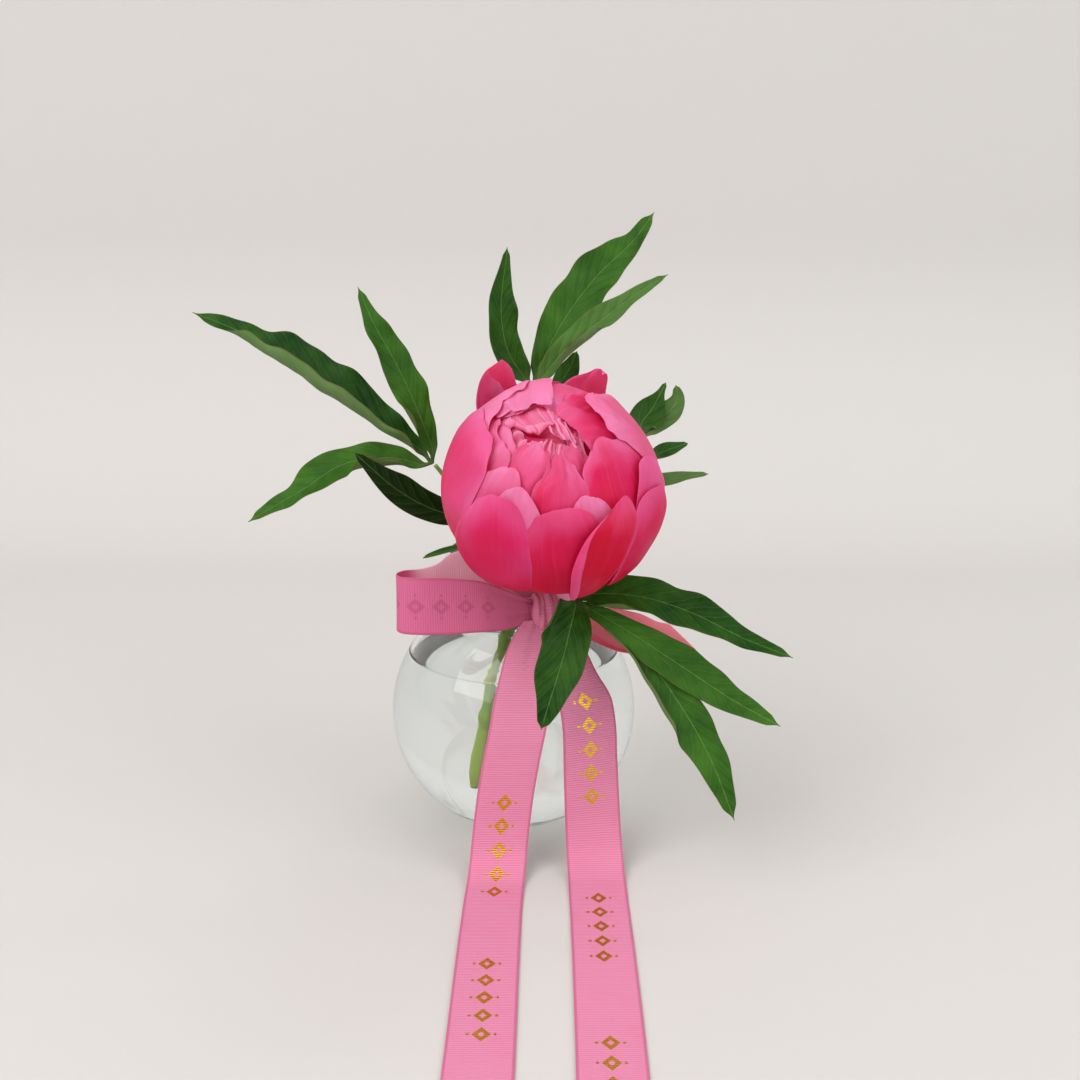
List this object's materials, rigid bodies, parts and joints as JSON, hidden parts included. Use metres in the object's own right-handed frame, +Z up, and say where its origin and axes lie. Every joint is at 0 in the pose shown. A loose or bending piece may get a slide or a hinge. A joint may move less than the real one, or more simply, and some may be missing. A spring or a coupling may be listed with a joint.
{
  "type": "peony in a bud vase",
  "caption": "Cut double peony with leaves standing in water in a small round glass vase, a wide ribbed ribbon tied in a bow round its neck, the ribbon's tails lying forward.",
  "frame": {"origin": "centre of the vase's flat base, on the surface it stands on", "axes": "+Z up; -Y to the front, where the flower nods and the ribbon's tails lie; +X to the right seen from the front"},
  "size_m": [0.2647, 0.2938, 0.2848],
  "materials": {
    "glass": "clear polished glass",
    "water": "clear water",
    "stem": "smooth fresh green stem",
    "sepal": "soft green sepal",
    "leaf": "semi-gloss dark leaf with a paler underside",
    "outer_petal": "soft satin petal, deep pink",
    "inner_petal": "soft satin petal, pink",
    "centre_petal": "soft crumpled petal, light pink",
    "ribbon": "ribbed woven ribbon, pink"
  },
  "bodies": {
    "root": {"vase": "glass", "water": "water", "stem": "stem", "sepal_1": "sepal", "sepal_2": "sepal", "sepal_3": "sepal", "guard_petal_front_left": "outer_petal", "guard_petal_front": "outer_petal", "guard_petal_front_right": "outer_petal", "guard_petal_right": "outer_petal", "guard_petal_back_right": "outer_petal", "guard_petal_top_right": "outer_petal", "guard_petal_back": "outer_petal", "guard_petal_top_left": "outer_petal", "guard_petal_back_left": "outer_petal", "guard_petal_left": "outer_petal", "second_petal_right": "inner_petal", "second_petal_top_right": "inner_petal", "second_petal_top": "inner_petal", "second_petal_left": "inner_petal", "second_petal_front_left": "inner_petal", "second_petal_front": "inner_petal", "third_petal_front": "inner_petal", "third_petal_right": "inner_petal", "third_petal_back_right": "inner_petal", "third_petal_back": "inner_petal", "third_petal_back_left": "inner_petal", "third_petal_left": "inner_petal", "centre_petal_1": "centre_petal", "centre_petal_2": "centre_petal", "centre_petal_3": "centre_petal", "centre_petal_4": "centre_petal", "centre_petal_5": "centre_petal", "centre_petal_6": "centre_petal", "leaflet_left_long": "leaf", "leaflet_left_upper": "leaf", "leaflet_left_drooping": "leaf", "leaflet_left_dark": "leaf", "leaflet_left_small": "leaf", "leaflet_back_upright": "leaf", "leaflet_back_tall": "leaf", "leaflet_back_narrow": "leaf", "leaflet_back_small": "leaf", "leaflet_right_middle": "leaf", "leaflet_right_lower": "leaf", "leaflet_front_drooping": "leaf", "leaflet_front_right": "leaf", "leaflet_right_forked": "leaf", "leaflet_front_forked": "leaf", "petiole_left": "stem", "petiole_back": "stem", "petiole_right": "stem", "petiole_front": "stem", "ribbon_loop_left": "ribbon", "ribbon_loop_right": "ribbon", "ribbon_tail_left": "ribbon", "ribbon_tail_right": "ribbon", "ribbon_wrap": "ribbon", "ribbon_knot": "ribbon"}
  },
  "joints": []
}
